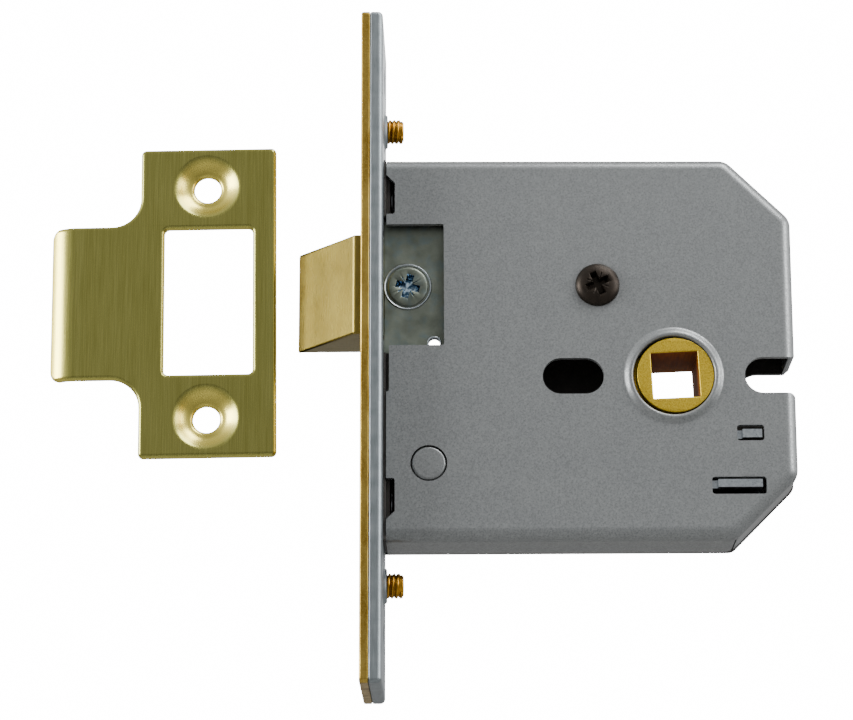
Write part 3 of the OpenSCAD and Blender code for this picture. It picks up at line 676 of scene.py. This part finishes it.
case_body = piece_of("case_tray", plate_mesh("case_tray", [case_outline(0, -4, 3.2)], CASE_FRONT,
                     CASE_BACK - SHEET - 0.05, 2.2, 0, "y", 9), grey_paint)
carved(case_body,
       plate_mesh("hollow", [case_outline(SHEET, -8, 2.0)], CASE_FRONT + SHEET, 20, 0.3, 0, "y",
                  3),
       plate_mesh("left", [rectangle(-10, -60, CASE_LEFT, 60)], -20, 20),
       face_cut,
       plate_mesh("notch", [rear_notch], -20, 20),
       seam_mesh(CASE_D - CHAMFER, CASE_TOP, 22.5), seam_mesh(CASE_D, CASE_TOP - CHAMFER, 67.5),
       seam_mesh(CASE_D - CHAMFER, CASE_BOTTOM, -22.5),
       seam_mesh(CASE_D, CASE_BOTTOM + CHAMFER, -67.5))
# the hole for the follower is drawn out into a smooth raised rim
rim_profile = [(RIM_R, 1.15), (RIM_R + RIM_FOOT - 0.15, 1.15), (RIM_R + RIM_FOOT, 0.6)]
rim_profile += [(RIM_R + RIM_FOOT - (RIM_FOOT - RIM_LIP) * k / 14,
                 0.012 - (RIM_HIGH + 0.012) / 2 * (1 - math.cos(math.pi * k / 14)))
                for k in range(15)]
rim_profile += [(RIM_R + RIM_LIP * (1 - math.sin(math.pi * k / 12)),
                 -RIM_HIGH + RIM_LIP * (1 - math.cos(math.pi * k / 12))) for k in range(1, 7)]
case_body.data = joined("case_tray", case_body.data,
                        lathe_mesh("rim", [(r, CASE_FRONT + h) for r, h in rim_profile],
                                   (RIM_X, 0, RIM_Z), "y", 96))
case_body.data.materials.append(grey_paint)
eased(case_body, 0.14, 2, 48)
# the inside of the tray's face, seen through the window and slots, wears the near-black painted
# shade
partly(case_body, painted_shade_steel, lambda c, n: n.y > 0.5 and c.y < 0 and (
    math.hypot(c.x - RIM_X, c.z - RIM_Z) > RIM_R + 1))
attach(case_body, "lock_case")
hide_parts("case_body")

notch_low, notch_high = HUB_Z - NOTCH_R, HUB_Z + NOTCH_R
back_edge = filleted(
    [(4.1, CASE_BOTTOM), (CASE_D - CHAMFER, CASE_BOTTOM), (CASE_D, CASE_BOTTOM + CHAMFER),
     (CASE_D, notch_low - 1.0), (78.0, notch_low), (NOTCH_X - NOTCH_R, notch_low),
     (NOTCH_X - NOTCH_R, notch_high), (78.0, notch_high), (CASE_D, notch_high + 1.0),
     (CASE_D, CASE_TOP - CHAMFER), (CASE_D - CHAMFER, CASE_TOP), (4.1, CASE_TOP),
     (4.1, WINDOW_TOP), (WINDOW_X, WINDOW_TOP), (WINDOW_X, WINDOW_LOW), (4.1, WINDOW_LOW)],
    [0, 2, 2, 0.4, 0.4, 3.3, 3.3, 0.4, 0.4, 2, 2, 0, 0, 0.3, 0.3, 0], 6)
back_holes = [ring_of(RIM_X, RIM_Z, RIM_HOLE, 72), ring_of(SPACER_X, SPACER_Z, 3.2),
              ring_of(CASE_SCREW_X, SPRING_Z, CASE_SCREW_HOLE, 32)]
# the front flange of the back, above and below the latch: a joggled strip in two steps
flange_low, flange_high = LATCH_Z - 13.0, LATCH_Z + 13.0
case_cover = piece_of("case_back", joined(
    "case_back",
    plate_mesh("back", [back_edge] + back_holes, CASE_BACK - SHEET, CASE_BACK, 0.1, 0.3),
    *[plate_mesh("flange", [rectangle(front, low, CASE_BACK - 0.3, high, 0.1, 2)], x0, x1, 0.1,
                 0.1, "x")
      for x0, x1, front, low, high in (
          (4.05, 4.5, CASE_FRONT + 0.4, flange_high, CASE_TOP + TOP_RISE - 0.2),
          (4.5, 5.25, CASE_FRONT + SHEET + 0.05, flange_high, CASE_TOP - SHEET - 0.05),
          (4.05, 4.5, CASE_FRONT + 0.4, CASE_BOTTOM + 0.2, flange_low),
          (4.5, 5.25, CASE_FRONT + SHEET + 0.05, CASE_BOTTOM + SHEET + 0.05, flange_low))],
    lathe_mesh("rim", [(r, CASE_BACK - h) for r, h in rim_profile], (RIM_X, 0, RIM_Z), "y", 96)),
    grey_paint)
eased(case_cover)
# the inside of the back and the front flange's faces in the notches wear the near-black painted
# shade
partly(case_cover, painted_shade_steel, lambda c, n: (n.y < -0.5 and 5 < c.y < 6) or (
    c.x < 5.3 and n.x > -0.5 and c.y < 5))
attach(case_cover, "lock_case")
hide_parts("case_cover")

# ---------------------------------------------------------------------------
# Case fixings: a black oxide screw with a cross recess through the face into the
# pillar, and a painted spacer rivet whose head is ground flush with the face.
# ---------------------------------------------------------------------------
# Black oxide on steel: brown black, mottled where handling has worn it.
black_oxide = mottled("black_oxide_on_steel", 900.0, 4.0, ("#15120f", "#332b24"), (0.5, 0.34), 0.8)


def recess_mesh(x, z, y0, depth, arm, turn):
    """Cutters for a cross recess that tapers to its floor and its four fine corner marks."""
    half = arm * 0.29
    cross = [(arm, -half), (arm, half), (half, half), (half, arm), (-half, arm), (-half, half),
             (-arm, half), (-arm, -half), (-half, -half), (-half, -arm), (half, -arm),
             (half, -half)]
    tick = []
    for k in range(4):
        a = math.radians(45 + 90 * k)
        ux, uz = math.cos(a), math.sin(a)
        tick.append([(ux * i - uz * j, uz * i + ux * j) for i, j in
                     ((arm * 0.36, -0.09), (arm * 0.92, -0.09), (arm * 0.92, 0.09),
                      (arm * 0.36, 0.09))])
    shells = []
    for loop, deep, shrink in [(cross, depth, 0.68)] + [(t, 0.28, 0.96) for t in tick]:
        points, faces = [], []
        for scale, w in ((1.25, -0.8), (1.0, 0.0), (shrink, deep)):
            points += [(u * scale, w, v * scale) for u, v in loop]
        size = len(loop)
        for level in (0, size):
            for k in range(size):
                j = (k + 1) % size
                faces.append((level + k, level + j, level + size + j, level + size + k))
        faces += [tuple(range(size)), tuple(range(2 * size, 3 * size))]
        shells.append(closed_mesh("recess", points, faces))
    cutters = shells[0], joined("marks", *shells[1:])
    for mesh in cutters:
        mesh.transform(Matrix.Translation(Vector((x, y0, z)) * MM)
                       @ Matrix.Rotation(math.radians(turn), 4, "Y"))
    return cutters


head_y = CASE_FRONT - 1.55
case_screw = piece_of("case_screw_piece", lathe_mesh("case_screw", [
    (0, head_y), (1.2, head_y + 0.03), (2.2, head_y + 0.14), (3.0, head_y + 0.34),
    (3.6, head_y + 0.66), (3.95, head_y + 1.05), (4.05, head_y + 1.4), (3.95, CASE_FRONT - 0.03),
    (1.95, CASE_FRONT - 0.03), (1.95, -2.2), (0, -2.2)], (CASE_SCREW_X, 0, SPRING_Z), "y", 64),
    black_oxide)
carved(case_screw, *recess_mesh(CASE_SCREW_X, SPRING_Z, head_y + 0.1, 1.5, 2.3, -24))
eased(case_screw, 0.05, 1, 45)
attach(case_screw, "lock_case")
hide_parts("case_screw")

case_rivet = piece_of("spacer_rivet", lathe_mesh("spacer_rivet", [
    (0, CASE_FRONT + 0.02), (2.6, CASE_FRONT + 0.02), (2.85, CASE_FRONT + 0.07),
    (3.02, CASE_FRONT + 0.22), (3.08, CASE_FRONT + 0.45), (3.08, -5.25), (3.7, -5.25),
    (3.7, 5.25), (3.15, 5.25),
    (3.15, CASE_BACK - 0.3), (3.0, CASE_BACK - 0.1), (0, CASE_BACK - 0.06)],
    (SPACER_X, 0, SPACER_Z), "y", 48), grey_paint)
eased(case_rivet)
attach(case_rivet, "lock_case")
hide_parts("case_rivet")

# ---------------------------------------------------------------------------
# Latch bolt: sawn and milled from brass bar, its bevel brushed; behind the
# forend a thinner shank carries the zinc plated tail and its screw, whose rim wears a painted
# highlight.
# ---------------------------------------------------------------------------
# Machined bar brass: pale gold with fine brushing of 0.1 mm along Z.
bar_brass, tree, shader, here = shader_of("milled_bar_brass")
brush_place = add(tree, "ShaderNodeMapping", {"Vector": here, "Scale": (1.0, 1.0, 0.05)})
brush = add(tree, "ShaderNodeTexNoise", {"Vector": brush_place.outputs[0], "Scale": 6500.0,
            "Detail": 3.0})
tarnish_tone = toned(tree, here, 300.0, 3.0, ("#70602a", "#887a40"))[1]
coated(shader, tarnish_tone, 1.0, brush.outputs[0], (0.24, 0.36), (0.3, 0.7), brush.outputs[0],
       0.12, 0.03 * MM)

LATCH_TIP = -12.2
bolt_edge = filleted([(LATCH_TIP, LATCH_SIDE), (LATCH_TIP, 6.2), (-1.4, -LATCH_SIDE),
                      (3.15, -LATCH_SIDE), (3.15, LATCH_SIDE)], [0.08, 0.1, 1.1, 0.1, 0.1], 8)
latch_head = piece_of("latch_bolt", joined(
    "latch_bolt",
    plate_mesh("bolt", [bolt_edge], LATCH_Z - LATCH_HALF, LATCH_Z + LATCH_HALF, 0.4, 0.4, "z", 4),
    plate_mesh("shank", [rectangle(1.0, -2.75, 16.0, 4.5, 0.2, 3)], LATCH_Z - 7.5, LATCH_Z + 7.5,
               0.2, 0.2, "z", 3)), bar_brass)
eased(latch_head)
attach(latch_head, "latch_bolt")
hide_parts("latch_head")

# Dull passivated zinc: grey green, with iridescent clouds of 3 to 6 mm.
passivate, tree, shader, here = shader_of("passivated_zinc_plate")
film, film_tone = toned(tree, here, 260.0, 4.0, ("#585e54", "#7e847a"), (0.2, 0.8), 0.6)
tint = add(tree, "ShaderNodeTexNoise", {"Vector": here, "Scale": 420.0, "Detail": 2.0})
tint_step = add(tree, "ShaderNodeMapRange", {"Value": tint.outputs[0], "From Min": 0.5,
                "From Max": 0.75, "To Max": 0.5})
tint_tone = add(tree, "ShaderNodeMix", {0: tint_step.outputs[0], 6: film_tone,
                7: linear("#5d7078")}, data_type="RGBA")
coated(shader, tint_tone.outputs[2], 0.9, film, (0.32, 0.5))

SCREW_X, seat_y = 8.42, -4.025
EYELET_X, EYELET_Z = 13.3, 0.75
tail_edge = filleted([(4.03, LATCH_Z - 12.8), (15.9, LATCH_Z - 12.8), (18.5, LATCH_Z - 7.5),
                      (61.8, LATCH_Z - 7.5), (61.8, LATCH_Z + 7.5), (18.5, LATCH_Z + 7.5),
                      (15.9, LATCH_Z + 12.8), (4.03, LATCH_Z + 12.8)], 0.4, 3)
tail_slot = obround(37.35, SPRING_Z, 5.85, 3.8)
latch_tail = piece_of("latch_tail_piece", joined(
    "latch_tail",
    plate_mesh("tail", [tail_edge, tail_slot, ring_of(SCREW_X, LATCH_Z, 4.36, 48),
                        ring_of(EYELET_X, EYELET_Z, 1.05, 24)], -4.3, -2.8, 0.12, 0.1),
    plate_mesh("tongue", [rectangle(3.22, LATCH_Z - 9.3, 4.6, LATCH_Z + 9.3, 0.1, 2)], -4.25,
               -2.85, 0.1, 0.1),
    lathe_mesh("seat", [(2.1, -4.0), (4.5, -4.0), (4.5, -2.8), (2.1, -2.8)],
               (SCREW_X, 0, LATCH_Z)),
    lathe_mesh("eyelet", [(1.02, -4.42), (1.3, -4.42), (1.42, -4.25), (1.42, -3.6), (1.02, -3.6)],
               (EYELET_X, 0, EYELET_Z), "y", 24),
    plate_mesh("lug", [rectangle(60.3, LATCH_Z - 4.5, 61.8, LATCH_Z + 4.5, 0.1, 2)], -4.2, 2.0,
               0.1, 0.3)), passivate)
eased(latch_tail)
partly(latch_tail, drawn_steel,
       lambda c, n: math.hypot(c.x - EYELET_X, c.z - EYELET_Z) < 1.45)
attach(latch_tail, "latch_bolt")
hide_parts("latch_tail")

# Blue chromate over zinc in the recess: its own blue, mottled from dark to near white as painted
# shade and painted glints.
blue_chromate_and_glints = mottled("blue_chromate_with_painted_glints", 1500.0, 1.0, ("#33526c", "#cfe6f6"), (0.16, 0.16),
                     1.0, (0.42, 0.66))

latch_screw = piece_of("latch_screw_piece", lathe_mesh("latch_screw", [
    (0, seat_y - 0.62), (3.3, seat_y - 0.62), (3.62, seat_y - 0.56), (3.74, seat_y - 0.4),
    (3.74, seat_y - 0.18), (4.0, seat_y - 0.18), (4.1, seat_y - 0.42), (4.26, seat_y - 0.5),
    (4.38, seat_y - 0.38), (4.4, seat_y), (2.0, seat_y), (2.0, 0.8), (0, 0.8)],
    (SCREW_X, 0, LATCH_Z), "y", 72), passivate)
carved(latch_screw, *recess_mesh(SCREW_X, LATCH_Z, seat_y - 0.6, 1.5, 2.25, 15))
eased(latch_screw, 0.05, 1, 45)
# the head's outer rim wears the brighter drawn steel as a painted highlight ring
partly(latch_screw, drawn_steel, lambda c, n: math.hypot(c.x - SCREW_X, c.z - LATCH_Z) > 3.95)
# the recess wears blue chromate with painted shade and painted glints
partly(latch_screw, blue_chromate_and_glints, lambda c, n: (
    math.hypot(c.x - SCREW_X, c.z - LATCH_Z) < 2.3 and c.y > seat_y - 0.55))
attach(latch_screw, "latch_bolt")
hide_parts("latch_screw")

# ---------------------------------------------------------------------------
# Springs: cold wound from 0.8 mm spring wire. One drives the latch bolt out and
# sits over its guide rod, the other turns the follower back to its stop.
# ---------------------------------------------------------------------------
spring_tree, spring_in = new_tree("coil_spring", "Turns", "Coil Radius", "Wire Radius", "Length")
close_tree(spring_tree, helix(spring_tree, 32, spring_in["Turns"], spring_in["Coil Radius"],
                              spring_in["Length"], 12, spring_in["Wire Radius"]),
           spring_in["Material"])


def coil_spring(name, node, start, length, coil_r, turns):
    """A coil spring of so many turns on coil_r mm, length mm long from start, in place of the
    frame's node.
    """
    coil = piece_of(name, bpy.data.meshes.new(name), drawn_steel)
    grown(coil, spring_tree, Turns=turns, Length=(length - 0.8) * MM, Material=drawn_steel,
          **{"Coil Radius": coil_r * MM, "Wire Radius": 0.4 * MM})
    coil.data.transform(Matrix.Translation((Vector(start) + Vector((0.4, 0, 0))) * MM))
    eased(coil)
    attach(coil, "lock_case")
    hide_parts(node)
    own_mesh(coil)


coil_spring("latch_spring_coil", "latch_spring", (16.05, 1.2, SPRING_Z), 23.5, 2.7, 9)
coil_spring("follower_spring_coil", "follower_spring", (33.65, 0, HUB_Z - 13), 20.25, 2.9, 8)

# ---------------------------------------------------------------------------
# Follower: a brass hub sawn from bar, with a broached square hole and fine chip
# marks on its face. A steel arm sits on its key.
# ---------------------------------------------------------------------------
# Sawn brass: strong yellow, speckled at 0.25 mm.
hub_brass, tree, shader, here = shader_of("sawn_hub_brass")
speck, speck_tone = toned(tree, here, 3800.0, 3.0, ("#a98a20", "#dcc248"), (0.32, 0.7), 0.65)
coated(shader, speck_tone, 1.0, speck, (0.5, 0.36), (0.0, 1.0), speck, 0.2, 0.04 * MM)

# Broached brass in the square hole: a dark, non-metallic amber as painted shade for the inside of
# the hole, with soft cutter marks 0.4 mm apart.
bore_shade_brass, tree, shader, here = shader_of("bore_brass_painted_shade")
cutter = add(tree, "ShaderNodeMapping", {"Vector": here, "Scale": (1.0, 0.1, 1.0)})
bore_shade_tone = toned(tree, cutter.outputs[0], 2400.0, 2.0, ("#5e3002", "#915509"))[1]
feed(shader, {"Base Color": bore_shade_tone, "Roughness": 0.7, "Metallic": 0.0,
              "Specular IOR Level": 0.15})

spin = math.radians(2.5)
HUB_R, BORE, KEY_R = 7.0, 4.25, 8.4
square = [(HUB_X + u * math.cos(spin) - v * math.sin(spin),
           HUB_Z + u * math.sin(spin) + v * math.cos(spin))
          for u, v in rectangle(-BORE, -BORE, BORE, BORE, 0.12, 2)]
core = ring_of(HUB_X, HUB_Z, 6.4, 48)
key = [(HUB_X + KEY_R * math.cos(math.radians(22.5 + 45 * k)),
        HUB_Z + KEY_R * math.sin(math.radians(22.5 + 45 * k))) for k in range(8)]
follower = piece_of("follower_hub", joined(
    "follower_hub",
    plate_mesh("barrel", [ring_of(HUB_X, HUB_Z, HUB_R, 96), square], CASE_FRONT - 0.3,
               CASE_BACK + 0.7, 0.22, 0.22),
    plate_mesh("key", [key, core], -1.6, 1.6, 0.1, 0.1),
    plate_mesh("collar", [ring_of(HUB_X, HUB_Z, 9.0, 72), core], 1.65, 5.0, 0.2, 0.2)), hub_brass)
eased(follower)
# the walls of the square hole wear the dark amber painted shade
partly(follower, bore_shade_brass, lambda c, n: abs(n.y) < 0.5 and (
    math.hypot(c.x - HUB_X, c.z - HUB_Z) < 6.2) and abs(c.y) < 6.6)
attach(follower, "follower_hub")
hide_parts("follower")

# ---------------------------------------------------------------------------
# Inner steel parts: pillar, guide rod, arm, folded stop and spring anchor, turned
# or blanked, keep the shapes of the frame and wear zinc plate.
# ---------------------------------------------------------------------------
for name, finish in (("case_pillar", zinc_strip), ("spring_guide", drawn_steel),
                     ("follower_arm", passivate), ("follower_stop", drawn_steel),
                     ("spring_anchor", drawn_steel)):
    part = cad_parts[name]
    part.data.materials.clear()
    part.data.materials.append(finish)

# ---------------------------------------------------------------------------
# Strike plate: blanked from brass sheet, its lip curled back, both screw holes
# dished in the press, then brushed up and down and lacquered; the edges are bright.
# ---------------------------------------------------------------------------
STRIKE_X, STRIKE_Z, STRIKE_Y, STRIKE_T = -29.3, 12.4, 6.0, 1.5
STRIKE_W, STRIKE_H, LIP, LIP_H = 25.7, 60.5, 17.1, 30.0
HOLE_X, HOLE_Z, TILT = -0.3, 22.6, -0.7

# Satin brass: olive gold, brushed with a grit that leaves lines 0.12 mm wide and
# 6 to 20 mm long, so that the flat is streaked and the rolled edges flash.
satin_brass, tree, shader, here = shader_of("brushed_satin_brass")
line_place = add(tree, "ShaderNodeMapping", {"Vector": here, "Scale": (1.0, 1.0, 0.02)})
line, line_tone = toned(tree, line_place.outputs[0], 5200.0, 4.0, ("#94924c", "#a3a15c"),
                        (0.3, 0.7), 0.6)
band_tone = toned(tree, line_place.outputs[0], 700.0, 3.0, ("#f4f3ec", "#ffffff"), (0.3, 0.7))[1]
satin_tone = add(tree, "ShaderNodeMix", {0: 1.0, 6: line_tone, 7: band_tone},
                 data_type="RGBA", blend_type="MULTIPLY")
# dishes and curl, pushed more than 0.1 mm back by the press, are painted a brighter yellow as a
# painted highlight
pushed_back = add(tree, "ShaderNodeSeparateXYZ", {0: here}).outputs["Y"]
highlight_share = add(tree, "ShaderNodeMapRange", {"Value": pushed_back, "From Min": 6.1 * MM,
              "From Max": 6.8 * MM})
painted_highlight_tone = add(tree, "ShaderNodeMix", {0: highlight_share.outputs[0], 6: satin_tone.outputs[2],
                 7: linear("#cfc060")}, data_type="RGBA")
coated(shader, painted_highlight_tone.outputs[2], 1.0, line, (0.22, 0.30), (0.3, 0.7), line, 0.08, 0.03 * MM)

half_w, half_h, half_l = STRIKE_W / 2, STRIKE_H / 2, LIP_H / 2
CURL_R, CURL = 6.5, math.radians(50)
curl_from = -half_w - LIP + CURL_R * math.sin(CURL)
lip_end = curl_from - CURL_R * CURL
strike_edge = filleted([(half_w, -half_h), (half_w, half_h), (-half_w, half_h), (-half_w, half_l),
                        (lip_end, half_l), (lip_end, -half_l), (-half_w, -half_l),
                        (-half_w, -half_h)],
                       [1.0, 1.0, 1.0, 5.5, 2.2, 2.2, 5.5, 1.0], 12)
strike_window = rectangle(-8.3, -14.3, 8.4, 14.3, 0.9, 5)
dish = [(6.5, 0), (6.25, 0.03), (5.95, 0.14), (5.45, 0.44), (4.9, 0.82), (4.4, 1.15), (3.9, 1.42),
        (3.5, 1.58), (3.2, 1.66), (2.95, 1.74), (2.7, 1.9), (2.55, 2.15), (2.55, 2.7),
        (2.75, 2.85), (3.3, 2.9), (4.3, 2.72), (5.2, 2.3), (6.0, 1.78), (6.5, 1.5)]
strike_blank = plate_mesh("strike_blank", [strike_edge, strike_window], 0, STRIKE_T, 0.75, 0.3,
                          "y", 6, [(HOLE_X, -HOLE_Z, dish), (HOLE_X, HOLE_Z, dish)])
# the lip is cut in strips of 0.4 mm and rolled back about a line CURL_R behind the face
rolling = bmesh.new()
rolling.from_mesh(strike_blank)
for k in range(14):
    bmesh.ops.bisect_plane(rolling, geom=rolling.verts[:] + rolling.edges[:] + rolling.faces[:],
                           plane_co=((curl_from - (k + 0.5) * 0.4) * MM, 0, 0), plane_no=(1, 0, 0))
for v in rolling.verts:
    along_lip = curl_from * MM - v.co.x
    if along_lip > 0:
        swing, rho = along_lip / (CURL_R * MM), CURL_R * MM - v.co.y
        v.co.x = curl_from * MM - rho * math.sin(swing)
        v.co.y = CURL_R * MM - rho * math.cos(swing)
bmesh.ops.rotate(rolling, verts=rolling.verts, cent=(0, 0, 0),
                 matrix=Matrix.Rotation(math.radians(TILT), 3, "Y"))
bmesh.ops.translate(rolling, verts=rolling.verts,
                    vec=Vector((STRIKE_X, STRIKE_Y, STRIKE_Z)) * MM)
rolling.to_mesh(strike_blank)
rolling.free()
strike_plate = piece_of("strike_plate_piece", strike_blank, satin_brass)
eased(strike_plate)
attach(strike_plate, "strike")
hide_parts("strike_plate")
